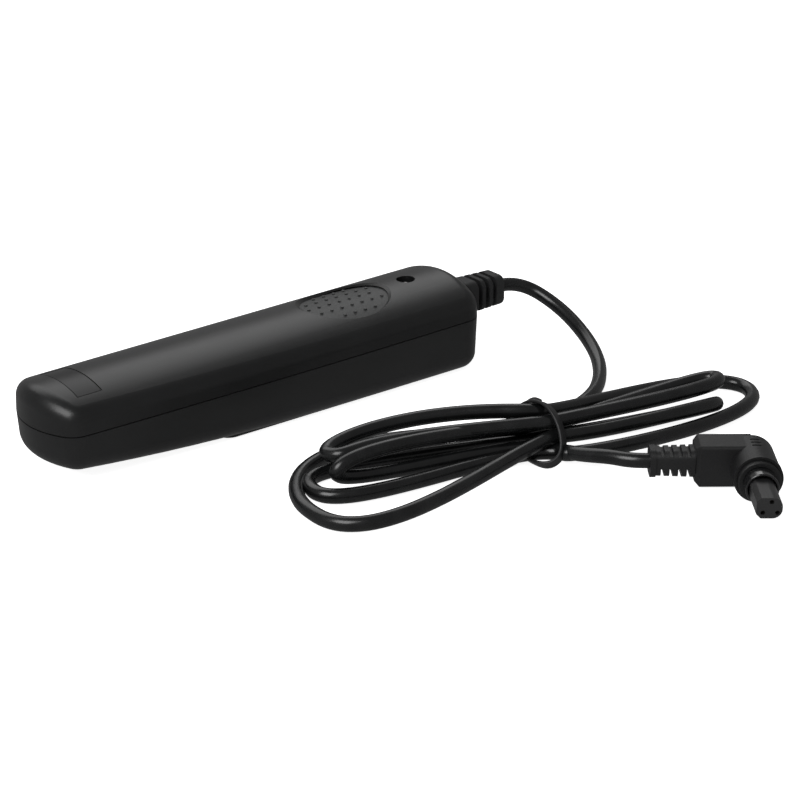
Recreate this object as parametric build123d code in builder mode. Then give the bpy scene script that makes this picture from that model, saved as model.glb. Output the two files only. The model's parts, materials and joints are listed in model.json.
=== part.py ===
"""Wired camera remote release: handset, tied cord and right-angle 3-pin plug.

Millimetres. +X runs along the handset towards the cable, +Z is up, and the origin
is on the surface that the handset rests on, under the middle of its body.
"""
import os
from math import cos, pi, radians, sin, sqrt, tan

from build123d import *

os.makedirs("parts", exist_ok=True)

# ---------------------------------------------------------------- driving dimensions
# Handset body
body_length = 108.0
label_half_width = 11.7
cable_half_width = 13.3
side_bulge = 0.6
label_end_bulge = 4.2
cable_end_bulge = 1.2
label_corner_radius = 4.8
cable_corner_radius = 5.0
seam_height = 11.82
seam_slope = 1.5 / body_length
crown_radius = 24.3
crown_height = 19.55
crown_slope = 1.87 / body_length
shoulder_radius = 3.5
underside_radius = 3.8
side_draft = 0.05
underside_height = 0.3
lift_start = 6.0
label_end_lift = 3.1
wall = 1.8
form_above_seam = 12.0
form_below_seam = 16.0
seam_reveal = 0.25
running_gap = 0.05
through = 80.0

# Rest pad under the body
pad_start = -14.0
pad_end = 34.0
pad_half_width = 9.6
pad_corner = 3.0

# Thumb button, seen through an oval window in the top shell
window_x = 23.7
window_half_length = 11.3
window_half_width = 8.85
rim_run = 1.6
skin = 0.7
plate_back = 13.3
plate_front = 11.2
plate_half_width = 9.0
plate_corner = 6.0
plate_underside = 15.9
plate_side_gap = 0.1
plate_end_gap = 0.15
plate_floor_gap = 0.4
press_travel = 2.0
lock_travel = 2.5
stem_side = 5.9
stem_corner = 1.0
stem_gap = 0.06
stem_bottom = 10.4
nub_radius = 0.9
nub_length = 3.0
dot_radius = 0.35
dot_height = 0.22
dot_pitch = 2.7
dot_row_pitch = 2.9
dot_stagger = 1.3
dot_start = -0.8
dot_field_half_length = 9.7
dot_field_half_width = 7.4
spring_radius = 4.25
spring_wire = 0.28
spring_turns = 3
spring_pocket_top = 16.5
spring_pocket_gap = 0.6

# Lock slide that carries the button
slide_start = 14.0
slide_end = 33.0
slide_half_width = 10.1
slide_bottom = 11.55
slide_top = 13.2
slide_corner = 1.0
slide_leg_y = 8.05
slide_leg_width = 0.9
slide_leg_height = 1.2
slide_leg_inset = 2.0
rail_start = 12.0
rail_end = 36.5
rail_y = 9.2
rail_width = 1.2
keeper_y = 9.8
keeper_width = 0.9
keeper_height = 3.2

# Indicator lamp
lamp_x = 41.15
lamp_hole_radius = 2.1
lamp_radius = 1.5
lamp_flange_radius = 1.9
lamp_flange = 0.8
lamp_lead_spacing = 2.54
lead_side = 0.45
lamp_base = 14.6
lamp_top = 19.55

# Label recess
label_centre = -43.75
label_length = 5.7
label_half = 7.4
label_depth = 0.3
label_gap = 0.2

# Case screws
screw_places = [(-40.0, 0.0), (41.0, 8.6), (41.0, -8.6)]
screw_heads = [3.0, 0.9, 0.9]
column_radius = 2.4
screw_radius = 0.85
screw_head_radius = 1.75
screw_head_height = 1.1
screw_recess = 1.3
screw_shank = 11.0
screw_pilot = 12.5
screw_pilot_rise = 0.3
screw_clearance = 0.15
head_clearance = 0.2

# Circuit board and contacts
board_start = -3.0
board_end = 45.0
board_half_width = 5.4
board_bottom = 3.4
board_top = 4.6
board_corner = 0.8
board_ribs = (1.0, 20.0, 40.0)
board_rib_width = 1.2
lead_hole_radius = 0.35
lead_end = 0.1
resistor_x = 33.0
resistor_half_span = 3.5
resistor_lift = 1.2
resistor_radius = 0.9
resistor_length = 4.2
resistor_lead_radius = 0.25
block_start = 2.0
block_end = 8.1
block_half_width = 4.2
block_top = 11.0
block_chamfer = 0.5
leaf_pivot_x = 8.3
leaf_tip_x = 27.0
leaf_thickness = 0.25
leaf_half_width = 2.0
leaf_tip_radius = 1.2
common_top = 9.45
focus_top = 7.92
shutter_top = 6.38
tail_start = -1.0
wire_radius = 0.45
wire_bend = 0.7

# Cable
cord_radius = 1.55
cord_height = 12.5
cord_inner_start = 44.5
gland_end = 67.4
gland_side = 7.4
gland_core = 5.0
gland_pitch = 2.15
gland_groove = 1.1
gland_tip = 2.6
gland_taper = 0.3
gland_corner = 1.9
gland_core_corner = 1.2
gland_tip_round = 0.6
neck_side = 6.0
flange_side = 9.0
flange_thickness = 1.2
flange_gap = 0.4
clamp_start = 46.2
clamp_end = 49.8
clamp_middle = (clamp_start + clamp_end) / 2
clamp_width = 12.0
clamp_rise = 1.0
clamp_height = 2.6
clamp_corner = 0.8
clamp_grip = 0.4
clamp_screw_y = 4.2
clamp_screw_hole = 0.75
clamp_screw_hole_depth = 7.0
clamp_screw_radius = 0.7
clamp_screw_shank = 5.5
clamp_screw_head_radius = 1.3
clamp_screw_head_height = 0.9

# Tie round the waist of the hank
tie_x = 34.0
tie_y = -54.2
tie_z = 5.5
tie_width = 2.4
tie_thickness = 0.8
tie_inner_width = 13.8
tie_inner_height = 9.4
tie_corner = 4.4

# Plug, in its own directions: along the cable entry, and along the nose
plug_entry = Vector(40.6, -78.5, 4.95)
plug_heading = -37.4
relief_length = 8.8
relief_start_side = 5.2
relief_end_side = 5.8
relief_start_corner = 1.6
relief_end_corner = 1.8
relief_collar = 1.1
slot_count = 4
slot_start = 2.1
slot_pitch = 1.7
slot_width = 0.75
slot_level = 3.3
slot_depth_above = 2.6
slot_depth_below = 1.4
block_width = 7.0
block_height = 8.8
block_bevel = 0.9
block_corner = 0.7
block_end_corner = 0.5
head_from_entry = 20.27
head_radius = 4.7
head_rear = -3.3
head_front = 9.0
head_back_round = 2.0
bead_width = 1.2
bead_height = 0.14
grip_marks = (0.3, 1.7, 3.1)
grip_mark_offset = 0.5
grip_mark_length = 2.4
grip_mark_width = 0.5
grip_mark_depth = 0.25
socket_floor = 4.4
socket_radius = 4.3
nose_radius = 3.3
nose_bore = 2.9
nose_seat = 10.6
nose_relief = 0.1
nose_end = 13.5
nose_round = 0.25
ring_start = 7.4
ring_end = 10.3
ring_gap = 0.08
ring_round = 0.3
ring_spring_wire = 0.36
ring_spring_turns = 3
key_start = 8.5
key_width = 5.0
key_height = 4.3
key_round = 1.9
key_bevel = 0.9
insert_end = 21.5
insert_gap = 0.02
contact_places = [(0.35, 1.3), (-1.25, -0.95), (1.55, -0.95)]
contact_hole_radius = 0.45
contact_hole_depth = 8.0
contact_recess = 1.8
contact_length = 6.0
contact_wall = 0.14
contact_gap = 0.01

seam_plane = Plane(
    origin=(0, 0, seam_height), x_dir=(1, 0, seam_slope), z_dir=(-seam_slope, 0, 1)
)


def save(piece, name):
    """Label a finished piece and write it as one STEP file."""
    piece.part.label = name
    export_step(piece.part, f"parts/{name}.step")


def crown_z(x, drop=0.0):
    """Height of the top surface over the centreline, less a drop."""
    return crown_height + crown_slope * x - drop


# ---------------------------------------------------------------- handset form
def end_bulge(half_width, bulge, inset):
    """Bulge of an end arc after it moves inward, kept parallel to the full-size one."""
    radius = (half_width**2 + bulge**2) / (2 * bulge) - inset
    return radius - sqrt(radius**2 - (half_width - inset) ** 2)


def plan_outline(inset, height=0.0):
    """The body seen from above: four shallow arcs with rounded corners."""
    end = body_length / 2 - inset
    middle = (label_half_width + cable_half_width) / 2 + side_bulge - inset
    label_x = end_bulge(label_half_width, label_end_bulge, inset) - end
    cable_x = end - end_bulge(cable_half_width, cable_end_bulge, inset)
    label_y = label_half_width - inset
    cable_y = cable_half_width - inset
    with BuildSketch(seam_plane.offset(height)) as outline:
        with BuildLine():
            ThreePointArc((label_x, label_y), (0, middle), (cable_x, cable_y))
            ThreePointArc((cable_x, cable_y), (end, 0), (cable_x, -cable_y))
            ThreePointArc((cable_x, -cable_y), (0, -middle), (label_x, -label_y))
            ThreePointArc((label_x, -label_y), (-end, 0), (label_x, label_y))
        make_face()
        fillet(outline.vertices().group_by(Axis.X)[0], radius=label_corner_radius - inset)
        fillet(outline.vertices().group_by(Axis.X)[-1], radius=cable_corner_radius - inset)
    return outline.sketch


def under_crown(drop):
    """The long tilted cylinder whose top is the crown of the body, less a drop."""
    start = Plane(
        origin=(-body_length, 0, crown_z(-body_length) - crown_radius),
        x_dir=(0, 1, 0),
        z_dir=(1, 0, crown_slope),
    )
    with BuildPart() as cylinder:
        with BuildSketch(start):
            Circle(crown_radius - drop)
        extrude(amount=2 * body_length)
    return cylinder.part


def handset_form(inset):
    """The solid body: drafted sides, cylindrical crown, underside lifted at one end."""
    floor = underside_height + inset
    with BuildPart() as form:
        low = plan_outline(inset + form_below_seam * side_draft, -form_below_seam)
        middle = plan_outline(inset)
        high = plan_outline(inset + form_above_seam * side_draft, form_above_seam)
        loft([low, middle], ruled=True)
        loft([middle, high], ruled=True)
        add(under_crown(inset), mode=Mode.INTERSECT)
        with BuildSketch(Plane.XZ):
            with BuildLine():
                lifted = (-body_length / 2, floor + label_end_lift)
                TangentArc((lift_start, floor), lifted, tangent=(-1, 0))
                Polyline(
                    lifted,
                    (-body_length, lifted[1] + label_end_lift),
                    (-body_length, -body_length),
                    (body_length, -body_length),
                    (body_length, floor),
                    (lift_start, floor),
                )
            make_face()
        extrude(amount=body_length, both=True, mode=Mode.SUBTRACT)
        crown_edges = form.faces().sort_by(Axis.Z)[-1].edges()
        fillet(crown_edges, radius=max(shoulder_radius - inset, 1.0))
        low_edges = form.edges().filter_by(lambda e: e.center().Z < seam_height / 2)
        low_edges = low_edges.filter_by(lambda e: abs(e.tangent_at(0.5).Z) < 0.5)
        low_edges = low_edges.filter_by(Axis.Y, reverse=True)
        fillet(low_edges, radius=max(underside_radius - inset, 1.0))
    return form.part


outer_form = handset_form(0)
inner_form = handset_form(wall)

# The body as one hollow shell with its screw columns, before it is split at the seam
with BuildPart() as hollow_body:
    with Locations(*screw_places):
        Cylinder(column_radius, through)
    add(outer_form, mode=Mode.INTERSECT)
    add(outer_form)
    with BuildPart(mode=Mode.PRIVATE) as cavity:
        add(inner_form)
        with Locations(*screw_places):
            Cylinder(column_radius, through, mode=Mode.SUBTRACT)
    add(cavity.part, mode=Mode.SUBTRACT)
    # square opening for the gland, centred on the seam
    with Locations((body_length / 2, 0, cord_height)):
        Box(
            2 * (wall + flange_thickness),
            neck_side + 2 * running_gap,
            neck_side + 2 * running_gap,
            mode=Mode.SUBTRACT,
        )


# A fine groove round the body along the seam, half of it in each shell
with BuildPart() as seam_groove:
    with BuildSketch(seam_plane) as groove_ring:
        add(plan_outline(-1.0))
        add(plan_outline(seam_reveal), mode=Mode.SUBTRACT)
    extrude(amount=seam_reveal / 2, both=True)


# ---------------------------------------------------------------- top shell
with BuildPart() as button_recess:
    with BuildSketch(Plane.XY.offset(plate_underside - press_travel - plate_floor_gap)):
        with Locations((window_x + (plate_front + lock_travel - plate_back) / 2, 0)):
            RectangleRounded(
                plate_front + lock_travel + plate_back + 2 * plate_end_gap,
                2 * (plate_half_width + plate_side_gap),
                plate_corner,
            )
    extrude(amount=form_above_seam)
    add(under_crown(skin), mode=Mode.INTERSECT)

# Shallow relief under the lip in front of the window, where the dots go when the
# button slides forward
with BuildPart() as dot_relief:
    with BuildSketch(Plane.XY.offset(plate_underside)):
        with Locations((window_x + lock_travel, 0)):
            Ellipse(window_half_length - skin, window_half_width - skin)
    extrude(amount=form_above_seam)
    add(under_crown(skin - dot_height - running_gap), mode=Mode.INTERSECT)

# A cone-like cutter, so that the rim slopes gently all round although the crown falls
# away at the sides
window_cut_levels = (-3.0, 1.0)
side_drop = crown_radius - sqrt(crown_radius**2 - window_half_width**2)
with BuildPart() as window_cutter:
    for level in window_cut_levels:
        spread = rim_run * level
        with BuildSketch(Plane.XY.offset(crown_z(window_x) + level)):
            with Locations((window_x, 0)):
                Ellipse(
                    window_half_length + spread,
                    window_half_width + rim_run * side_drop + spread,
                )
    loft()

with BuildPart() as label_recess:
    with Locations((label_centre, 0, crown_z(label_centre))):
        Box(label_length, 2 * label_half, form_above_seam)
    add(under_crown(label_depth), mode=Mode.SUBTRACT)

with BuildPart() as top_shell:
    add(hollow_body.part)
    split(bisect_by=seam_plane, keep=Keep.TOP)
    add(button_recess.part, mode=Mode.SUBTRACT)
    add(dot_relief.part, mode=Mode.SUBTRACT)
    add(label_recess.part, mode=Mode.SUBTRACT)
    add(window_cutter.part, mode=Mode.SUBTRACT)
    with Locations((lamp_x, 0, crown_z(lamp_x))):
        Cylinder(lamp_hole_radius, 8, mode=Mode.SUBTRACT)
    # keepers that hold the lock slide down on its rails
    keeper_z = slide_top + running_gap + keeper_height / 2
    for side in (-1, 1):
        with Locations(((rail_start + rail_end) / 2, side * keeper_y, keeper_z)):
            Box(rail_end - rail_start, keeper_width, keeper_height)
    # pilot holes for the case screws
    for (x, y), head in zip(screw_places, screw_heads):
        with Locations((x, y, head + screw_pilot / 2 + screw_pilot_rise)):
            Cylinder(screw_radius + running_gap, screw_pilot, mode=Mode.SUBTRACT)
    add(seam_groove.part, mode=Mode.SUBTRACT)
save(top_shell, "top_shell")

# ---------------------------------------------------------------- bottom shell
with BuildPart() as bottom_shell:
    add(hollow_body.part)
    split(bisect_by=seam_plane, keep=Keep.BOTTOM)
    add(seam_groove.part, mode=Mode.SUBTRACT)
    # raised pad that the handset rests on
    with BuildSketch(Plane.XY):
        with Locations(((pad_start + pad_end) / 2, 0)):
            RectangleRounded(pad_end - pad_start, 2 * pad_half_width, pad_corner)
    extrude(amount=underside_height + wall / 2)
    # rails for the lock slide
    for side in (-1, 1):
        with Locations(((rail_start + rail_end) / 2, side * rail_y, (slide_bottom + wall) / 2)):
            Box(rail_end - rail_start, rail_width, slide_bottom - wall - 2 * running_gap)
    # cross ribs under the circuit board
    for rib_x in board_ribs:
        with Locations((rib_x, 0, (board_bottom + wall) / 2)):
            Box(board_rib_width, 2 * board_half_width, board_bottom - wall)
    # saddle under the cable
    saddle_top = cord_height - clamp_grip
    with Locations((clamp_middle, 0, (saddle_top + wall) / 2)):
        Box(clamp_end - clamp_start, clamp_width, saddle_top - wall)
    with Locations(Location((clamp_middle, 0, cord_height), (0, 90, 0))):
        Cylinder(cord_radius, 2 * (clamp_end - clamp_start), mode=Mode.SUBTRACT)
    for side in (-1, 1):
        with Locations((clamp_middle, side * clamp_screw_y, saddle_top)):
            Cylinder(clamp_screw_hole, 2 * clamp_screw_hole_depth, mode=Mode.SUBTRACT)
    # counterbored screw holes from below
    for (x, y), head in zip(screw_places, screw_heads):
        with Locations((x, y, 0)):
            Cylinder(screw_radius + screw_clearance, through, mode=Mode.SUBTRACT)
            Cylinder(
                screw_head_radius + head_clearance,
                2 * (head + screw_recess),
                mode=Mode.SUBTRACT,
            )
save(bottom_shell, "bottom_shell")

# ---------------------------------------------------------------- label and rest
with BuildPart() as label_plate:
    with Locations((label_centre, 0, crown_z(label_centre))):
        Box(label_length - 2 * label_gap, 2 * (label_half - label_gap), form_above_seam)
    add(under_crown(running_gap), mode=Mode.INTERSECT)
    add(under_crown(label_depth), mode=Mode.SUBTRACT)
save(label_plate, "label_plate")

# ---------------------------------------------------------------- thumb button
plate_length = plate_front + plate_back
plate_centre = window_x + (plate_front - plate_back) / 2
with BuildPart() as thumb_button:
    with BuildSketch(Plane.XY.offset(plate_underside)):
        with Locations((plate_centre, 0)):
            RectangleRounded(plate_length, 2 * plate_half_width, plate_corner)
    extrude(amount=form_above_seam)
    add(under_crown(skin + running_gap), mode=Mode.INTERSECT)
    # ring pocket for the spring, then the square stem with its rounded nub
    with BuildSketch(Plane.XY.offset(plate_underside)):
        with Locations((window_x, 0)):
            Circle(spring_radius + spring_pocket_gap)
    extrude(amount=spring_pocket_top - plate_underside, mode=Mode.SUBTRACT)
    with BuildSketch(Plane.XY.offset(stem_bottom)):
        with Locations((window_x, 0)):
            RectangleRounded(stem_side, stem_side, stem_corner)
    extrude(amount=spring_pocket_top - stem_bottom)
    with Locations(Location((window_x, 0, stem_bottom), (90, 0, 0))):
        Cylinder(nub_radius, nub_length)
    # rows of small raised dots on the thumb surface
    for row in range(-2, 3):
        for column in range(-3, 4):
            along = dot_start + dot_pitch * column + (dot_stagger if row % 2 else 0)
            y = dot_row_pitch * row
            if (along / dot_field_half_length) ** 2 + (y / dot_field_half_width) ** 2 > 1:
                continue
            x = window_x + along
            fall = crown_radius - sqrt(crown_radius**2 - y**2)
            with Locations((x, y, crown_z(x, skin + fall) - dot_height)):
                Cylinder(dot_radius, 4 * dot_height)
save(thumb_button, "thumb_button")

# ---------------------------------------------------------------- lock slide
slide_centre = (slide_start + slide_end) / 2
with BuildPart() as lock_slide:
    with Locations((slide_centre, 0, (slide_bottom + slide_top) / 2)):
        Box(
            slide_end - slide_start,
            2 * (slide_half_width - running_gap),
            slide_top - slide_bottom,
        )
    fillet(lock_slide.edges().filter_by(Axis.Z), radius=slide_corner)
    leg_length = slide_end - slide_start - 2 * slide_leg_inset
    for side in (-1, 1):
        with Locations((slide_centre, side * slide_leg_y, slide_bottom - slide_leg_height / 2)):
            Box(leg_length, slide_leg_width, slide_leg_height)
    with BuildSketch(Plane.XY.offset(slide_bottom)):
        with Locations((window_x, 0)):
            RectangleRounded(stem_side + 2 * stem_gap, stem_side + 2 * stem_gap, stem_corner)
    extrude(amount=slide_top - slide_bottom, mode=Mode.SUBTRACT)
save(lock_slide, "lock_slide")

# ---------------------------------------------------------------- return spring
spring_low = slide_top + spring_wire / 2 + running_gap
spring_high = spring_pocket_top - spring_wire / 2 - running_gap
with BuildPart() as return_spring:
    with BuildLine() as coil:
        Helix(
            pitch=(spring_high - spring_low) / spring_turns,
            height=spring_high - spring_low,
            radius=spring_radius,
            center=(window_x, 0, spring_low),
        )
    with BuildSketch(Plane(origin=coil.line @ 0, z_dir=coil.line % 0)):
        Circle(spring_wire / 2)
    sweep(path=coil.line, is_frenet=True)
save(return_spring, "return_spring")

# ---------------------------------------------------------------- contacts
leaf_length = leaf_tip_x - leaf_pivot_x


def moving_leaf(top):
    """A contact leaf from just in front of the block to its tip."""
    with BuildPart() as leaf:
        with Locations(((leaf_pivot_x + leaf_tip_x) / 2, 0, top - leaf_thickness / 2)):
            Box(leaf_length, 2 * leaf_half_width, leaf_thickness)
        fillet(leaf.edges().filter_by(Axis.Z).group_by(Axis.X)[-1], radius=leaf_tip_radius)
    return leaf


save(moving_leaf(common_top), "common_contact")
save(moving_leaf(focus_top), "focus_contact")

with BuildPart() as shutter_contact:
    with Locations(((tail_start + leaf_tip_x) / 2, 0, shutter_top - leaf_thickness / 2)):
        Box(leaf_tip_x - tail_start, 2 * leaf_half_width, leaf_thickness)
    fillet(shutter_contact.edges().filter_by(Axis.Z).group_by(Axis.X)[-1], radius=leaf_tip_radius)
save(shutter_contact, "shutter_contact")

with BuildPart() as leaf_tails:
    for top in (common_top, focus_top):
        with Locations(((tail_start + block_end) / 2, 0, top - leaf_thickness / 2)):
            Box(block_end - tail_start, 2 * leaf_half_width, leaf_thickness)
save(leaf_tails, "leaf_tails")

with BuildPart() as contact_block:
    with Locations(((block_start + block_end) / 2, 0, (board_top + block_top) / 2)):
        Box(block_end - block_start, 2 * block_half_width, block_top - board_top)
    chamfer(contact_block.edges().filter_by(Axis.Z), length=block_chamfer)
    for top in (common_top, focus_top, shutter_top):
        with Locations(((block_start + block_end) / 2, 0, top - leaf_thickness / 2)):
            Box(through, 2 * leaf_half_width, leaf_thickness, mode=Mode.SUBTRACT)
save(contact_block, "contact_block")

# ---------------------------------------------------------------- circuit board
lamp_lead_places = [(lamp_x, side * lamp_lead_spacing / 2) for side in (-1, 1)]
resistor_lead_places = [(resistor_x + side * resistor_half_span, 0) for side in (-1, 1)]
with BuildPart() as circuit_board:
    with BuildSketch(Plane.XY.offset(board_bottom)):
        with Locations(((board_start + board_end) / 2, 0)):
            RectangleRounded(board_end - board_start, 2 * board_half_width, board_corner)
        with Locations(*lamp_lead_places, *resistor_lead_places):
            Circle(lead_hole_radius, mode=Mode.SUBTRACT)
    extrude(amount=board_top - board_bottom)
save(circuit_board, "circuit_board")

with BuildPart() as resistor:
    with Locations(Location((resistor_x, 0, board_top + resistor_lift), (0, 90, 0))):
        Cylinder(resistor_radius, resistor_length)
    fillet(resistor.edges().filter_by(GeomType.CIRCLE), radius=0.4 * resistor_radius)
    with BuildLine() as lead_wire:
        FilletPolyline(
            (resistor_x - resistor_half_span, 0, board_bottom + lead_end),
            (resistor_x - resistor_half_span, 0, board_top + resistor_lift),
            (resistor_x + resistor_half_span, 0, board_top + resistor_lift),
            (resistor_x + resistor_half_span, 0, board_bottom + lead_end),
            radius=3 * resistor_lead_radius,
        )
    with BuildSketch(Plane(origin=lead_wire.line @ 0, z_dir=lead_wire.line % 0)):
        Circle(resistor_lead_radius)
    sweep(path=lead_wire.line)
save(resistor, "resistor")

with BuildPart() as indicator_lamp:
    with BuildSketch(Plane.XZ):
        with BuildLine():
            dome = lamp_top - lamp_radius
            Polyline(
                (0, lamp_top),
                (0, lamp_base),
                (lamp_flange_radius, lamp_base),
                (lamp_flange_radius, lamp_base + lamp_flange),
                (lamp_radius, lamp_base + lamp_flange),
                (lamp_radius, dome),
            )
            RadiusArc((lamp_radius, dome), (0, lamp_top), -lamp_radius)
        make_face()
    revolve(axis=Axis.Z)
indicator_lamp.part.locate(Location((lamp_x, 0, 0)))
save(indicator_lamp, "indicator_lamp")

with BuildPart() as lamp_leads:
    with BuildSketch(Plane.XY.offset(board_bottom + lead_end)):
        with Locations(*lamp_lead_places):
            Rectangle(lead_side, lead_side)
    extrude(amount=lamp_base - board_bottom - lead_end)
save(lamp_leads, "lamp_leads")

# ---------------------------------------------------------------- gland and clamp
grooves = [gland_end - gland_tip - gland_groove / 2 - n * gland_pitch for n in range(3)]
outer_face = body_length / 2 + running_gap
inner_face = body_length / 2 - wall - flange_gap
with BuildPart() as cable_gland:
    with BuildSketch(Plane.YZ.offset(outer_face)) as wide:
        with Locations((0, cord_height)):
            RectangleRounded(gland_side + gland_taper, gland_side + gland_taper, gland_corner)
    with BuildSketch(Plane.YZ.offset(gland_end)) as narrow:
        with Locations((0, cord_height)):
            RectangleRounded(gland_side - gland_taper, gland_side - gland_taper, gland_corner)
    loft()
    fillet(cable_gland.faces().sort_by(Axis.X)[-1].edges(), radius=gland_tip_round)
    for groove in grooves:
        with BuildSketch(Plane.YZ.offset(groove - gland_groove / 2)):
            with Locations((0, cord_height)):
                Rectangle(4 * gland_side, 4 * gland_side)
                RectangleRounded(gland_core, gland_core, gland_core_corner, mode=Mode.SUBTRACT)
        extrude(amount=gland_groove, mode=Mode.SUBTRACT)
    # neck through the end wall, and the flange behind it
    with Locations(((outer_face + inner_face) / 2, 0, cord_height)):
        Box(outer_face - inner_face, neck_side, neck_side)
    with Locations((inner_face - flange_thickness / 2, 0, cord_height)):
        Box(flange_thickness, flange_side, flange_side)
    with Locations(Location((body_length / 2, 0, cord_height), (0, 90, 0))):
        Cylinder(cord_radius + running_gap, through, mode=Mode.SUBTRACT)
save(cable_gland, "cable_gland")

with BuildPart() as cord_clamp:
    with Locations((clamp_middle, 0, cord_height + clamp_rise)):
        Box(clamp_end - clamp_start, clamp_width, clamp_height)
    fillet(cord_clamp.edges().filter_by(Axis.Z), radius=clamp_corner)
    with Locations(Location((clamp_middle, 0, cord_height), (0, 90, 0))):
        Cylinder(cord_radius, through, mode=Mode.SUBTRACT)
    for side in (-1, 1):
        with Locations((clamp_middle, side * clamp_screw_y, cord_height)):
            Cylinder(clamp_screw_hole, through, mode=Mode.SUBTRACT)
save(cord_clamp, "cord_clamp")


def screw(x, y, under_head, shank, head, up):
    """A pan-head screw with a cross recess. up is the way its shank points."""
    shank_radius, shank_length = shank
    head_radius, head_height = head
    place = Plane(origin=(x, y, under_head), z_dir=(0, 0, up))
    with BuildPart() as one:
        with BuildSketch(place):
            Circle(shank_radius)
        extrude(amount=shank_length)
        chamfer(one.faces().sort_by(Axis.Z)[-1 if up > 0 else 0].edges(), length=shank_radius / 2)
        with BuildSketch(place):
            Circle(head_radius)
        extrude(amount=-head_height)
        crown = one.faces().sort_by(Axis.Z)[0 if up > 0 else -1]
        fillet(crown.edges(), radius=head_height / 3)
        with BuildSketch(place.offset(-head_height)):
            Rectangle(head_radius * 1.1, head_radius * 0.24)
            Rectangle(head_radius * 0.24, head_radius * 1.1)
        extrude(amount=head_height / 2, mode=Mode.SUBTRACT)
    return one.part


with BuildPart() as clamp_screws:
    seat = cord_height + clamp_rise + clamp_height / 2
    shank = (clamp_screw_radius, clamp_screw_shank)
    head = (clamp_screw_head_radius, clamp_screw_head_height)
    for side in (-1, 1):
        add(screw(clamp_middle, side * clamp_screw_y, seat, shank, head, -1))
save(clamp_screws, "clamp_screws")

with BuildPart() as case_screws:
    shank = (screw_radius, screw_shank)
    head = (screw_head_radius, screw_head_height)
    for (x, y), head_height in zip(screw_places, screw_heads):
        add(screw(x, y, head_height + screw_recess, shank, head, 1))
save(case_screws, "case_screws")

# ---------------------------------------------------------------- cable
def corner_radii(points):
    """As large a bend at each corner as its two runs allow."""
    radii = []
    for before, corner, after in zip(points, points[1:], points[2:]):
        arriving = Vector(*corner) - Vector(*before)
        leaving = Vector(*after) - Vector(*corner)
        shorter = min(arriving.length, leaving.length)
        radii.append(0.45 * shorter / tan(radians(arriving.get_angle(leaving)) / 2))
    return radii


def tube(points, radius, name):
    """A round cord of straight runs joined by tangent arcs."""
    radii = corner_radii(points)
    with BuildPart() as cord:
        with BuildLine() as route:
            FilletPolyline(*points, radius=radii)
        centre_line = route.wire()
        with BuildSketch(Plane(origin=centre_line @ 0, z_dir=centre_line % 0)):
            Circle(radius)
        sweep(path=centre_line)
    swept = pi * radius**2 * centre_line.length
    print(name, "length", round(centre_line.length, 1), "radii", [round(r, 1) for r in radii])
    print(name, "volume", round(cord.part.volume, 1), "section times length", round(swept, 1))
    return cord


# The stretch inside the handset and through the gland
with BuildPart() as inner_cord:
    with BuildSketch(Plane.YZ.offset(cord_inner_start)):
        with Locations((0, cord_height)):
            Circle(cord_radius)
    extrude(amount=gland_end - cord_inner_start)
save(inner_cord, "inner_cord")

# From the gland, round and down to the surface, then into the hank
lead_route = [
    (gland_end, 0.0, cord_height),
    (70.8, 0.0, cord_height),
    (75.4, -2.0, 11.2),
    (77.8, -6.6, 9.0),
    (78.4, -13.2, 6.6),
    (77.0, -21.2, 3.9),
    (73.2, -29.0, 2.3),
    (67.4, -35.8, 1.6),
    (60.6, -41.2, 1.6),
    (53.2, -44.2, 1.6),
    (47.0, -45.6, 1.6),
]
cable_lead = tube(lead_route, cord_radius, "cable_lead")
save(cable_lead, "cable_lead")

# From the hank to the plug's relief, rising to the height of the plug
entry_run = Vector(cos(radians(plug_heading)), sin(radians(plug_heading)), 0)
tail_route = [
    (27.4, -57.0, 2.4),
    (31.0, -62.6, 2.4),
    (34.0, -67.4, 3.1),
    (35.5, -72.6, 4.3),
    (37.9, -76.43, 4.95),
    tuple(plug_entry),
]
cable_tail = tube(tail_route, cord_radius, "cable_tail")
save(cable_tail, "cable_tail")

# The tied hank as one closed solid: sections across it, from tip to tip, each given
# by its place, its near and far sides, and its lowest and highest points
hank_sections = [
    (-23.4, -54.0, -46.0, 0.3, 2.8),
    (-20.0, -60.0, -38.0, 0.0, 4.5),
    (-12.0, -63.2, -32.2, 0.0, 8.0),
    (2.0, -63.4, -30.0, 0.0, 10.0),
    (20.0, -62.0, -38.0, 0.3, 10.4),
    (34.0, -60.8, -47.4, 0.8, 10.2),
    (48.0, -65.4, -43.4, 0.3, 9.6),
    (62.0, -69.0, -43.4, 0.0, 9.0),
    (76.0, -69.4, -47.0, 0.0, 7.5),
    (86.0, -67.0, -52.0, 0.0, 4.5),
    (90.4, -62.0, -56.0, 0.3, 2.8),
]
with BuildPart() as cable_hank:
    for x, near, far, low, high in hank_sections:
        corner = 0.48 * (high - low)
        with BuildSketch(Plane.YZ.offset(x)):
            with Locations(((near + far) / 2, (low + high) / 2)):
                RectangleRounded(far - near, high - low, corner)
    loft(ruled=True)
save(cable_hank, "cable_hank")

# Flat tie round the waist of the hank
with BuildPart() as cable_tie:
    with BuildSketch(Plane.YZ.offset(tie_x - tie_width / 2)):
        with Locations((tie_y, tie_z)):
            RectangleRounded(
                tie_inner_width + 2 * tie_thickness,
                tie_inner_height + 2 * tie_thickness,
                tie_corner + tie_thickness,
            )
            RectangleRounded(tie_inner_width, tie_inner_height, tie_corner, mode=Mode.SUBTRACT)
    extrude(amount=tie_width)
save(cable_tie, "cable_tie")

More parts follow.
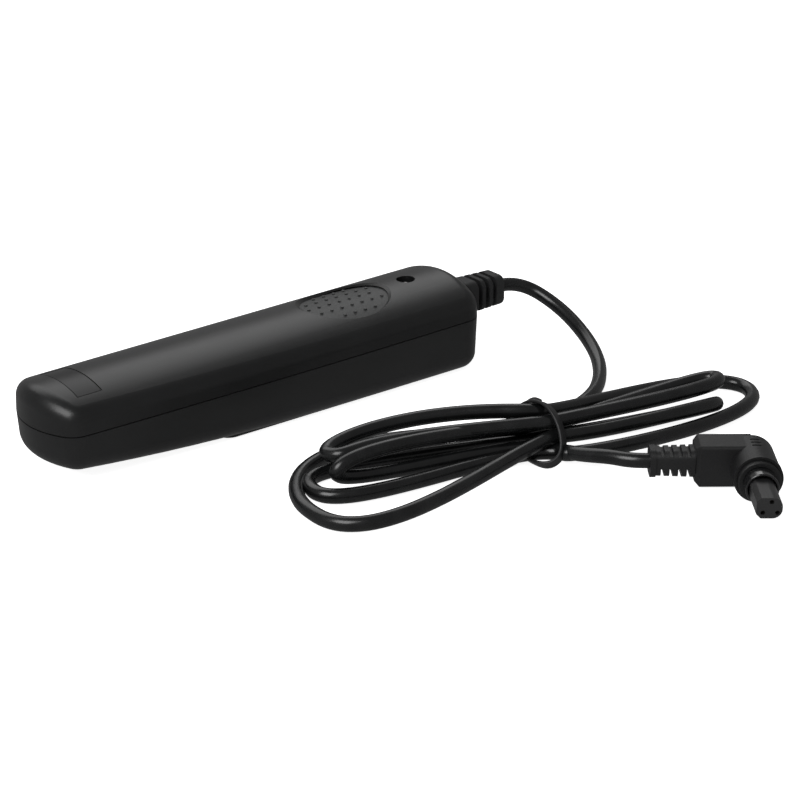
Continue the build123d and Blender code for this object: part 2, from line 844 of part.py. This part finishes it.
# ---------------------------------------------------------------- conductors
def conductor(start_y, start_z, lane_y, lane_z, end_top, name):
    """A wire from the cord's end, down one side of the handset, to a contact's tail."""
    end_z = end_top - leaf_thickness / 2
    route = [
        (cord_inner_start, start_y, start_z),
        (cord_inner_start - 1.6, start_y, start_z),
        (cord_inner_start - 3.4, lane_y * 0.55, (start_z + lane_z) / 2),
        (cord_inner_start - 9.0, lane_y, lane_z),
        (tail_start - 2.0, lane_y, lane_z),
        (tail_start - 4.2, lane_y * 0.55, end_z),
        (tail_start - 3.6, 0, end_z),
        (tail_start, 0, end_z),
    ]
    with BuildPart() as wire:
        with BuildLine() as path:
            FilletPolyline(*route, radius=wire_bend)
        centre_line = path.wire()
        with BuildSketch(Plane(origin=centre_line @ 0, z_dir=centre_line % 0)):
            Circle(wire_radius)
        sweep(path=centre_line)
    save(wire, name)


conductor(0.7, cord_height + 0.4, 6.9, 9.8, common_top, "common_wire")
conductor(-0.7, cord_height + 0.4, -6.9, 8.4, focus_top, "focus_wire")
conductor(0.0, cord_height - 0.9, 6.6, 6.4, shutter_top, "shutter_wire")

# ---------------------------------------------------------------- plug
plug_plane = Plane(origin=plug_entry, x_dir=entry_run, z_dir=(0, 0, 1))
nose_run = Vector(entry_run.Y, -entry_run.X, 0)


def nose_plane(along):
    """Plane across the plug's nose, a distance in front of the cable's line."""
    origin = plug_entry + entry_run * head_from_entry + nose_run * along
    return Plane(origin=origin, x_dir=entry_run, z_dir=nose_run)


relief_plane = Plane(origin=plug_entry, x_dir=nose_run, z_dir=entry_run)
with BuildPart() as plug_relief:
    with BuildSketch(relief_plane):
        RectangleRounded(relief_start_side, relief_start_side, relief_start_corner)
    with BuildSketch(relief_plane.offset(relief_length)):
        RectangleRounded(relief_end_side, relief_end_side, relief_end_corner)
    loft()
    # collar at the cable end, and slots above and below that leave side spines
    with BuildSketch(relief_plane):
        RectangleRounded(relief_end_side, relief_end_side, relief_end_corner)
    extrude(amount=relief_collar)
    for n in range(slot_count):
        for level, depth in ((slot_level, slot_depth_above), (-slot_level, slot_depth_below)):
            with BuildSketch(relief_plane.offset(slot_start + slot_pitch * n)):
                with Locations((0, level)):
                    Rectangle(2 * relief_end_side, 2 * depth)
                Circle(cord_radius, mode=Mode.SUBTRACT)
            extrude(amount=slot_width, mode=Mode.SUBTRACT)
save(plug_relief, "plug_relief")

with BuildPart() as plug_body:
    with BuildSketch(relief_plane.offset(relief_length)):
        RectangleRounded(block_width - 2 * block_bevel, block_height - 2 * block_bevel, block_end_corner)
    with BuildSketch(relief_plane.offset(relief_length + block_bevel)):
        RectangleRounded(block_width, block_height, block_corner)
    loft(ruled=True)
    with BuildSketch(relief_plane.offset(relief_length + block_bevel)):
        RectangleRounded(block_width, block_height, block_corner)
    extrude(amount=head_from_entry - relief_length - block_bevel)
    # round head across the block, with a rounded back and a thin bead round its front
    with BuildSketch(plug_plane) as head_profile:
        with BuildLine():
            Polyline(
                (head_from_entry, -head_rear),
                (head_from_entry + head_radius, -head_rear),
                (head_from_entry + head_radius, bead_width - head_front),
                (head_from_entry + head_radius + bead_height, bead_width - head_front),
                (head_from_entry + head_radius + bead_height, -head_front),
                (head_from_entry, -head_front),
                close=True,
            )
        make_face()
        back_corner = (head_from_entry + head_radius, -head_rear, 0)
        fillet(head_profile.vertices().sort_by_distance(back_corner)[0], radius=head_back_round)
    revolve(axis=Axis(nose_plane(0).origin, nose_run))
    # socket that holds the nose and the ring
    with BuildSketch(nose_plane(socket_floor)):
        Circle(socket_radius)
    extrude(amount=head_front, mode=Mode.SUBTRACT)
    # three short grip marks on top
    for along in grip_marks:
        with BuildSketch(plug_plane.offset(head_radius - grip_mark_depth)):
            with Locations((head_from_entry + grip_mark_offset, -along)):
                SlotOverall(grip_mark_length, grip_mark_width)
        extrude(amount=head_radius, mode=Mode.SUBTRACT)
save(plug_body, "plug_body")

with BuildPart() as plug_nose:
    with BuildSketch(nose_plane(socket_floor)):
        Circle(nose_radius - nose_relief)
        Circle(nose_bore, mode=Mode.SUBTRACT)
    extrude(amount=nose_seat - socket_floor)
    with BuildSketch(nose_plane(nose_seat)):
        Circle(nose_radius)
        Circle(nose_bore, mode=Mode.SUBTRACT)
    extrude(amount=nose_end - nose_seat)
    front = plug_nose.faces().sort_by(lambda f: (f.center() - plug_entry).dot(nose_run))[-1]
    fillet(front.outer_wire().edges(), radius=nose_round)
save(plug_nose, "plug_nose")

with BuildPart() as plug_lock_ring:
    with BuildSketch(nose_plane(ring_start)):
        Circle(socket_radius - ring_gap)
        Circle(nose_radius - nose_relief + ring_gap, mode=Mode.SUBTRACT)
    extrude(amount=ring_end - ring_start)
    front = plug_lock_ring.faces().sort_by(lambda f: (f.center() - plug_entry).dot(nose_run))[-1]
    fillet(front.outer_wire().edges(), radius=ring_round)
save(plug_lock_ring, "plug_lock_ring")

ring_spring_length = ring_start - socket_floor - ring_spring_wire - 2 * running_gap
with BuildPart() as ring_spring:
    with BuildLine() as ring_coil:
        Helix(
            pitch=ring_spring_length / ring_spring_turns,
            height=ring_spring_length,
            radius=(socket_radius + nose_radius) / 2,
            center=nose_plane(socket_floor + ring_spring_wire / 2 + running_gap).origin,
            direction=nose_run,
        )
    with BuildSketch(Plane(origin=ring_coil.line @ 0, z_dir=ring_coil.line % 0)):
        Circle(ring_spring_wire / 2)
    sweep(path=ring_coil.line, is_frenet=True)
save(ring_spring, "ring_spring")

with BuildPart() as plug_insert:
    with BuildSketch(nose_plane(socket_floor)):
        Circle(nose_bore - insert_gap)
    extrude(amount=key_start - socket_floor)
    with BuildSketch(nose_plane(key_start)) as key_face:
        Rectangle(key_width, key_height)
        fillet(key_face.vertices().group_by(Axis.X)[-1], radius=key_round)
        chamfer(key_face.vertices().group_by(Axis.X)[0], length=key_bevel)
    extrude(amount=insert_end - key_start)
    with BuildSketch(nose_plane(insert_end)):
        with Locations(*contact_places):
            Circle(contact_hole_radius)
    extrude(amount=-contact_hole_depth, mode=Mode.SUBTRACT)
save(plug_insert, "plug_insert")

with BuildPart() as plug_contacts:
    with BuildSketch(nose_plane(insert_end - contact_recess)):
        with Locations(*contact_places):
            Circle(contact_hole_radius - contact_gap)
            Circle(contact_hole_radius - contact_wall, mode=Mode.SUBTRACT)
    extrude(amount=-contact_length)
save(plug_contacts, "plug_contacts")
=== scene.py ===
"""Looks of the wired camera remote: materials, the free cord in its tied hank, and a soft studio."""

import json
from math import cos, pi, radians, sin

import bmesh
import bpy
from mathutils import Matrix, Vector


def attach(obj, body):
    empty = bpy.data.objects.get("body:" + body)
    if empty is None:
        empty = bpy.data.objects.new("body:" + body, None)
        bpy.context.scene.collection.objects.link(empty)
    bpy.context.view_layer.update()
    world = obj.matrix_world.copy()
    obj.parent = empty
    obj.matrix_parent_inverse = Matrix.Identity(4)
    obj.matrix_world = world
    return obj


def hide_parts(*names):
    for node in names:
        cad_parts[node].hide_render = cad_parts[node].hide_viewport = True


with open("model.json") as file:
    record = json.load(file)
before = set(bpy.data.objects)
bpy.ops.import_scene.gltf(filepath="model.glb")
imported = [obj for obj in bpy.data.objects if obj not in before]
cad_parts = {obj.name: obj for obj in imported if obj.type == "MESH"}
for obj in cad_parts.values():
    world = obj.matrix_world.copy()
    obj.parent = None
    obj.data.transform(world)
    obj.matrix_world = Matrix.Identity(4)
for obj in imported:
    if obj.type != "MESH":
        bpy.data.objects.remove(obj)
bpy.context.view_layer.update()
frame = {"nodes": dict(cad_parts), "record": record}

nodes = frame["nodes"]
MM = 0.001
MICRON = 0.000001


def put(name, data):
    """A new object made of the given data, in the scene."""
    thing = bpy.data.objects.new(name, data)
    bpy.context.scene.collection.objects.link(thing)
    return thing


# ---------------------------------------------------------------- camera
CAMERA_AZIMUTH = -38.11
CAMERA_ELEVATION = 23.42
CAMERA_PLACE = (-0.2389, -0.3551, 0.1870)
CAMERA_LENS = 98.0
NEAREST_SEEN = 0.01
FURTHEST_SEEN = 20


def make_camera():
    """Camera at the photograph's angle: it looks down along the handset from the label end."""
    azimuth = radians(CAMERA_AZIMUTH)
    elevation = radians(CAMERA_ELEVATION)
    back = Vector((sin(azimuth) * cos(elevation), -cos(azimuth) * cos(elevation), sin(elevation)))
    right = Vector((cos(azimuth), sin(azimuth), 0))
    up = back.cross(right)
    data = bpy.data.cameras.new("camera")
    data.lens = CAMERA_LENS
    data.clip_start = NEAREST_SEEN
    data.clip_end = FURTHEST_SEEN
    camera = put("camera", data)
    turn = Matrix((right, up, back)).transposed().to_4x4()
    camera.matrix_world = Matrix.Translation(CAMERA_PLACE) @ turn
    bpy.context.scene.camera = camera


make_camera()


# ---------------------------------------------------------------- materials
class Look:
    """One material, with short names for building its node tree."""

    def __init__(self, name):
        self.material = bpy.data.materials.new(name)
        self.material.use_nodes = True
        self.tree = self.material.node_tree
        self.shader = self.tree.nodes["Principled BSDF"]
        self.place = self.add("ShaderNodeTexCoord").outputs["Object"]

    def add(self, kind, **values):
        """A new node, with the given values in its inputs, where _ in a name stands for a space."""
        node = self.tree.nodes.new(kind)
        for socket, value in values.items():
            node.inputs[socket.replace("_", " ")].default_value = value
        return node

    def join(self, output, node, socket):
        self.tree.links.new(output, node.inputs[socket])

    def set(self, socket, value):
        self.shader.inputs[socket].default_value = value

    def noise(self, scale, detail=3.0, roughness=0.55, stretch=None):
        """Fractal noise of so many features to the metre, stretched along an axis if asked."""
        node = self.add("ShaderNodeTexNoise", Scale=scale, Detail=detail, Roughness=roughness)
        place = self.place
        if stretch:
            mapping = self.add("ShaderNodeMapping", Scale=stretch)
            self.join(place, mapping, "Vector")
            place = mapping.outputs["Vector"]
        self.join(place, node, "Vector")
        return node.outputs["Fac"]

    def colour(self, factor, dark, light):
        """A base colour that runs from dark to light over the middle of factor's range."""
        node = self.add("ShaderNodeValToRGB")
        for stop, position, shade in zip(node.color_ramp.elements, (0.35, 0.65), (dark, light)):
            stop.position = position
            stop.color = (*shade, 1)
        self.join(factor, node, "Fac")
        self.join(node.outputs["Color"], self.shader, "Base Color")

    def roughness(self, factor, low, high):
        """A roughness that runs from low to high over the middle of factor's range."""
        node = self.add("ShaderNodeMapRange", From_Min=0.3, From_Max=0.7, To_Min=low, To_Max=high)
        self.join(factor, node, "Value")
        self.join(node.outputs["Result"], self.shader, "Roughness")

    def bump(self, *heights):
        """Bumps of the given (height, depth in microns) pairs, one on top of the other."""
        normal = None
        for height, depth in heights:
            node = self.add("ShaderNodeBump", Distance=depth * MICRON, Strength=1.0)
            self.join(height, node, "Height")
            if normal:
                self.join(normal, node, "Normal")
            normal = node.outputs["Normal"]
        self.join(normal, self.shader, "Normal")


def moulded(name, dark, light, rough, grain=2600, grain_depth=20, wave_depth=0, specular=0.4, coat=0.0):
    """Moulded plastic: spark-eroded grain, faint unevenness, and a roughness that varies.

    The grain is in features to the metre, and the depths are in microns.
    """
    waves_per_metre = 180
    blotches_per_metre = 45
    roughness_spread = 0.03
    coat_roughness = 0.12
    look = Look(name)
    fine = look.noise(grain, detail=2.0, roughness=0.6)
    broad = look.noise(blotches_per_metre, detail=4.0)
    look.colour(broad, dark, light)
    look.roughness(broad, rough - roughness_spread, rough + roughness_spread)
    look.set("Specular IOR Level", specular)
    look.set("Coat Weight", coat)
    look.set("Coat Roughness", coat_roughness)
    heights = [(fine, grain_depth)]
    if wave_depth:
        heights.append((look.noise(waves_per_metre, detail=1.0), wave_depth))
    look.bump(*heights)
    return look.material


def metal(name, colour, rough, brushed=(1, 1, 1)):
    """Bare metal with fine drawn marks along one direction and a slight tarnish."""
    marks_per_metre = 1500
    blotches_per_metre = 350
    tarnished = 0.72
    mark_depth = 6
    look = Look(name)
    marks = look.noise(marks_per_metre, stretch=brushed)
    tarnish = look.noise(blotches_per_metre, detail=4.0)
    look.colour(tarnish, tuple(tarnished * c for c in colour), colour)
    look.roughness(marks, rough - 0.08, rough + 0.1)
    look.set("Metallic", 1.0)
    look.bump((marks, mark_depth))
    return look.material


def laminate(name):
    """Circuit board: solder mask over a faint glass weave."""
    threads_per_metre = 900
    blotches_per_metre = 120
    weave_depth = 10
    look = Look(name)
    weave = look.noise(threads_per_metre, detail=1.0, stretch=(4, 0.6, 1))
    mottle = look.noise(blotches_per_metre)
    look.colour(mottle, (0.012, 0.075, 0.03), (0.02, 0.11, 0.045))
    look.roughness(weave, 0.28, 0.42)
    look.bump((weave, weave_depth))
    return look.material


def lamp_glass(name):
    """Dark tinted lamp lens, glossy, with a faint moulding ripple."""
    ripples_per_metre = 500
    ripple_depth = 6
    look = Look(name)
    ripple = look.noise(ripples_per_metre, detail=1.0)
    look.colour(ripple, (0.006, 0.006, 0.008), (0.014, 0.012, 0.013))
    look.roughness(ripple, 0.05, 0.1)
    look.set("Coat Weight", 0.6)
    look.set("Coat Roughness", 0.03)
    look.bump((ripple, ripple_depth))
    return look.material


def cord_jacket(name):
    """Soft cord jacket: a satin skin with shallow lumps."""
    lumps_per_metre = 220
    lump_depth = 40
    look = Look(name)
    lumps = look.noise(lumps_per_metre, detail=2.0)
    look.colour(lumps, (0.0042, 0.0044, 0.0046), (0.0072, 0.0075, 0.0078))
    look.roughness(lumps, 0.21, 0.29)
    look.set("Specular IOR Level", 0.5)
    look.bump((lumps, lump_depth))
    return look.material


finishes = {
    "case_plastic": moulded("case", (0.0062, 0.0064, 0.0066), (0.0086, 0.0088, 0.0090), rough=0.32,
                            grain=3200, grain_depth=12),
    "button_plastic": moulded("button", (0.030, 0.031, 0.031), (0.038, 0.039, 0.039), rough=0.5,
                              specular=0.5),
    "label_film": moulded("label", (0.006, 0.006, 0.0064), (0.009, 0.009, 0.0094), rough=0.30,
                          grain=1800, grain_depth=8, specular=0.24),
    "gland_rubber": moulded("gland", (0.009, 0.009, 0.0095), (0.014, 0.0145, 0.015), rough=0.55,
                            grain=2200, grain_depth=30, wave_depth=40, specular=0.35),
    "cord_jacket": cord_jacket("cord"),
    "tie_plastic": moulded("tie", (0.007, 0.007, 0.0075), (0.012, 0.012, 0.0125), rough=0.45,
                           grain=1500),
    "plug_plastic": moulded("plug", (0.0066, 0.0066, 0.007), (0.010, 0.010, 0.0105), rough=0.45,
                            grain=2000, grain_depth=35, specular=0.38),
    "plug_nose_plastic": moulded("plug_nose", (0.004, 0.004, 0.0045), (0.007, 0.007, 0.0075),
                                 rough=0.14, grain=900, grain_depth=6, specular=0.6, coat=0.5),
    "insert_plastic": moulded("insert", (0.012, 0.012, 0.0125), (0.018, 0.018, 0.0185), rough=0.34,
                              grain=2400, grain_depth=10, specular=0.5),
    "lamp_lens": lamp_glass("lamp"),
    "contact_brass": metal("brass", (0.78, 0.58, 0.26), rough=0.3, brushed=(0.2, 3, 3)),
    "spring_steel": metal("spring", (0.62, 0.62, 0.64), rough=0.22),
    "screw_steel": metal("screw", (0.5, 0.5, 0.52), rough=0.34),
    "board_laminate": laminate("board"),
    "block_plastic": moulded("nylon", (0.62, 0.59, 0.52), (0.7, 0.67, 0.6), rough=0.45,
                             specular=0.45),
    "resistor_body": moulded("resistor", (0.42, 0.3, 0.18), (0.5, 0.37, 0.24), rough=0.38, grain=900),
    "lead_tin": metal("tin", (0.72, 0.72, 0.72), rough=0.3),
    "wire_red": moulded("red_wire", (0.42, 0.03, 0.025), (0.52, 0.045, 0.035), rough=0.4, grain=1200),
    "wire_yellow": moulded("yellow_wire", (0.6, 0.42, 0.03), (0.68, 0.5, 0.05), rough=0.4, grain=1200),
    "wire_white": moulded("white_wire", (0.7, 0.7, 0.68), (0.8, 0.8, 0.78), rough=0.4, grain=1200),
}

for entry in frame["record"]["subparts"]:
    slots = nodes[entry["node"]].data.materials
    for index in range(len(slots)):
        slots[index] = finishes[entry["material_slot"]]


# ---------------------------------------------------------------- curves
def nurbs_curve(name, route):
    """A curve of one NURBS spline, with a route's points, in millimetres, as its control points."""
    curve = bpy.data.curves.new(name, "CURVE")
    curve.dimensions = "3D"
    spline = curve.splines.new("NURBS")
    spline.points.add(len(route) - 1)
    for point, place in zip(spline.points, route):
        point.co = (*(Vector(place) * MM), 1)
    return curve, spline


def round_tube(name, route, radius, slot, corners, steps):
    """A smooth round tube along a route, from its first point to its last, riding on the handset.
    """
    curve, spline = nurbs_curve(name, route)
    spline.order_u = 3
    spline.use_endpoint_u = True
    curve.resolution_u = steps
    curve.bevel_depth = radius * MM
    curve.bevel_resolution = corners
    curve.use_fill_caps = True
    curve.materials.append(finishes[slot])
    tube = put(name, curve)
    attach(tube, "handset")
    return tube


# ---------------------------------------------------------------- cord
CORD_RADIUS = 1.55
CORD_CORNERS = 6
CORD_STEPS = 6
POINTS_PER_HALF_FOLD = 8

# From the gland down to the surface, and from the hank to the plug, in millimetres
lead_route = [
    (67.4, 0.0, 12.5),
    (70.8, 0.0, 12.5),
    (75.4, -2.0, 11.2),
    (77.8, -6.6, 9.0),
    (78.4, -13.2, 6.6),
    (77.0, -21.2, 3.9),
    (73.2, -29.0, 2.3),
    (67.4, -35.8, 1.6),
    (60.6, -41.2, 1.6),
    (53.2, -44.2, 1.6),
    (47.0, -45.6, 1.6),
]
tail_route = [
    (33.4, -60.8, 2.6),
    (34.3, -66.2, 3.6),
    (36.2, -71.8, 4.7),
    (37.9, -76.43, 4.95),
    (40.6, -78.5, 4.95),
]

# Where the cord passes through the tie, in the order that it does
through_tie = [
    (33.0, -49.2, 2.4),
    (33.5, -58.0, 4.9),
    (33.0, -52.4, 2.4),
    (33.5, -60.1, 2.1),
    (33.5, -52.4, 8.6),
    (33.5, -56.4, 7.4),
    (33.0, -53.0, 5.5),
    (33.0, -55.9, 2.0),
]

# The fold between each pass and the next: two handles on the way out, the tip,
# and two handles on the way back
folds = [
    [
        (5.3, -21.2, 1.6), (-17.1, -30.0, 1.6),
        (-21.4, -47.9, 1.6),
        (-28.3, -76.1, 1.7), (20.7, -56.3, 3.4),
    ],
    [
        (42.8, -63.5, 4.7), (73.3, -70.2, 7.0),
        (73.6, -64.7, 3.6),
        (73.8, -60.9, 1.3), (55.9, -60.3, 2.5),
    ],
    [
        (0.6, -39.2, 1.6), (-11.0, -33.8, 1.6),
        (-14.9, -39.9, 1.6),
        (-26.3, -57.9, 2.0), (30.6, -49.1, 1.6),
    ],
    [
        (23.2, -67.8, 4.9), (87.3, -76.6, 1.6),
        (89.1, -59.2, 1.6),
        (90.7, -44.1, 1.6), (34.0, -54.7, 7.0),
    ],
    [
        (10.2, -31.8, 9.1), (-13.0, -33.0, 4.5),
        (-8.1, -40.1, 6.0),
        (-5.3, -44.1, 6.8), (-5.1, -34.7, 6.3),
    ],
    [
        (40.5, -58.1, 7.6), (78.3, -67.9, 8.0),
        (78.9, -59.6, 6.6),
        (79.3, -54.1, 5.6), (56.2, -53.6, 3.6),
    ],
    [
        (12.4, -45.0, 6.8), (-11.3, -46.2, 10.0),
        (-11.9, -45.3, 5.3),
        (-12.4, -44.5, 1.1), (25.2, -50.1, 2.6),
    ],
]


def cubic(ends_and_handles, t):
    """A point on a cubic curve from its end, two handles and other end."""
    a, b, c, d = (Vector(p) for p in ends_and_handles)
    s = 1 - t
    return a * s**3 + b * 3 * s * s * t + c * 3 * s * t * t + d * t**3


def hank_route():
    """The turns of the hank: out from the tie to each tip, and back to the next pass."""
    points = []
    for start, fold, end in zip(through_tie, folds, through_tie[1:]):
        way_out = [start, *fold[:3]]
        way_back = [*fold[2:], end]
        for half in (way_out, way_back):
            points += [cubic(half, n / POINTS_PER_HALF_FOLD) for n in range(POINTS_PER_HALF_FOLD)]
    return points + [through_tie[-1]]


free_cord = round_tube(
    "free_cord",
    lead_route + hank_route() + tail_route,
    radius=CORD_RADIUS,
    slot="cord_jacket",
    corners=CORD_CORNERS,
    steps=CORD_STEPS,
)
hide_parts("cable_lead", "cable_hank", "cable_tail")


# ---------------------------------------------------------------- tie
TIE_HALF_WIDTH = 1.15
TIE_HALF_THICKNESS = 0.35
TIE_RIB = 0.3
TIE_RIB_STEPS = 8
TIE_LOOP_STEPS = 8
STUB_RADIUS = 0.65
STUB_CORNERS = 4
STUB_STEPS = 12

# The middle of the tie's strip, slanting round the hank from its knot and back to it
tie_loop = [
    (34.5, -50.8, 10.3),
    (34.6, -55.0, 10.6),
    (34.2, -58.4, 8.9),
    (33.6, -60.9, 6.2),
    (32.5, -62.4, 3.6),
    (30.5, -62.9, 1.8),
    (28.6, -61.6, 1.0),
    (27.9, -59.0, 0.9),
    (28.2, -54.0, 0.9),
    (29.0, -49.0, 1.1),
    (30.5, -46.4, 3.4),
    (33.0, -47.4, 7.4),
]

# The tie's two twisted ends, beside each other on top of the hank
tie_stubs = [
    [(34.9, -52.4, 10.1), (34.6, -51.6, 10.4), (34.1, -50.8, 10.3), (33.7, -50.3, 9.7)],
    [(34.6, -51.8, 9.9), (34.1, -51.2, 10.1), (33.7, -50.9, 9.5)],
]


def tie_section():
    """Half round ribs along both edges of a thinner strip, as (across, out) pairs."""
    across_rib = TIE_HALF_WIDTH - TIE_RIB
    section = []
    for side in (1, -1):
        for n in range(TIE_RIB_STEPS + 1):
            angle = pi * n / TIE_RIB_STEPS
            section.append((side * (across_rib + TIE_RIB * sin(angle)),
                            side * TIE_HALF_THICKNESS * cos(angle)))
        section.append((0, -side * TIE_HALF_THICKNESS / 2))
    return section


def loop_points():
    """Points along the smooth closed line that the tie's strip follows, in metres."""
    curve, spline = nurbs_curve("tie_path", tie_loop)
    spline.order_u = 4
    spline.use_cyclic_u = True
    spline.resolution_u = TIE_LOOP_STEPS
    path = bpy.data.objects.new("tie_path", curve)
    line = bpy.data.meshes.new_from_object(path)
    bpy.data.objects.remove(path)
    return [vertex.co.copy() for vertex in line.vertices]


def tie_mesh():
    """The strip's section swept round its loop, with its flat side against the cord."""
    points = loop_points()
    middle = sum(points, Vector()) / len(points)
    section = tie_section()
    bm = bmesh.new()
    rings = []
    for n, point in enumerate(points):
        along = (points[(n + 1) % len(points)] - points[n - 1]).normalized()
        across = along.cross(point - middle).normalized()
        out = across.cross(along)
        rings.append([bm.verts.new(point + (across * a + out * o) * MM) for a, o in section])
    for ring, following in zip(rings, rings[1:] + rings[:1]):
        for m, corner in enumerate(ring):
            beside = (m + 1) % len(ring)
            bm.faces.new((corner, ring[beside], following[beside], following[m]))
    bmesh.ops.recalc_face_normals(bm, faces=bm.faces)
    mesh = bpy.data.meshes.new("tie")
    bm.to_mesh(mesh)
    bm.free()
    mesh.shade_smooth()
    mesh.materials.append(finishes["tie_plastic"])
    return mesh


def make_tie():
    """The tie round the hank's waist, with its two ends as short stubs."""
    tie = put("hank_tie", tie_mesh())
    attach(tie, "handset")
    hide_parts("cable_tie")
    for number, stub in enumerate(tie_stubs, start=1):
        round_tube(
            f"tie_stub_{number}",
            stub,
            radius=STUB_RADIUS,
            slot="tie_plastic",
            corners=STUB_CORNERS,
            steps=STUB_STEPS,
        )


make_tie()


# ---------------------------------------------------------------- studio
FLOOR_HALF_SIZE = 3.0
FLOOR_SQUARES = 12
FLOOR_GLOW = 0.9
WORLD_LIGHT = 0.22
LIT_PLACE = (0.03, -0.03, 0.0)


def make_floor():
    """A wide pale floor that the object lies on. It glows a little, so that it shows evenly."""
    bm = bmesh.new()
    bmesh.ops.create_grid(
        bm, x_segments=FLOOR_SQUARES, y_segments=FLOOR_SQUARES, size=FLOOR_HALF_SIZE
    )
    mesh = bpy.data.meshes.new("floor")
    bm.to_mesh(mesh)
    bm.free()
    look = Look("floor")
    mottle = look.noise(4, detail=2.0)
    look.colour(mottle, (0.93, 0.93, 0.93), (0.95, 0.95, 0.95))
    look.set("Roughness", 0.9)
    look.set("Specular IOR Level", 0.1)
    look.set("Emission Color", (1, 1, 1, 1))
    look.set("Emission Strength", FLOOR_GLOW)
    mesh.materials.append(look.material)
    floor = put("floor", mesh)
    floor.visible_glossy = False


def area_light(name, place, size, power):
    """A rectangular light of so many watts that faces the object."""
    data = bpy.data.lights.new(name, "AREA")
    data.shape = "RECTANGLE"
    data.size, data.size_y = size
    data.energy = power
    light = put(name, data)
    light.location = place
    light.rotation_mode = "QUATERNION"
    light.rotation_quaternion = (Vector(LIT_PLACE) - Vector(place)).to_track_quat("-Z", "Y")


def make_studio():
    """Even light from all round, one light overhead from behind, and one from the label end."""
    make_floor()
    world = bpy.data.worlds.new("studio")
    bpy.context.scene.world = world
    world.use_nodes = True
    background = world.node_tree.nodes["Background"]
    background.inputs["Color"].default_value = (1, 1, 1, 1)
    background.inputs["Strength"].default_value = WORLD_LIGHT
    area_light("overhead", place=(0.28, 0.70, 0.72), size=(1.1, 0.6), power=3)
    area_light("side", place=(-0.75, -0.25, 0.80), size=(0.7, 0.7), power=9)
    bpy.context.scene.view_settings.view_transform = "Standard"


make_studio()
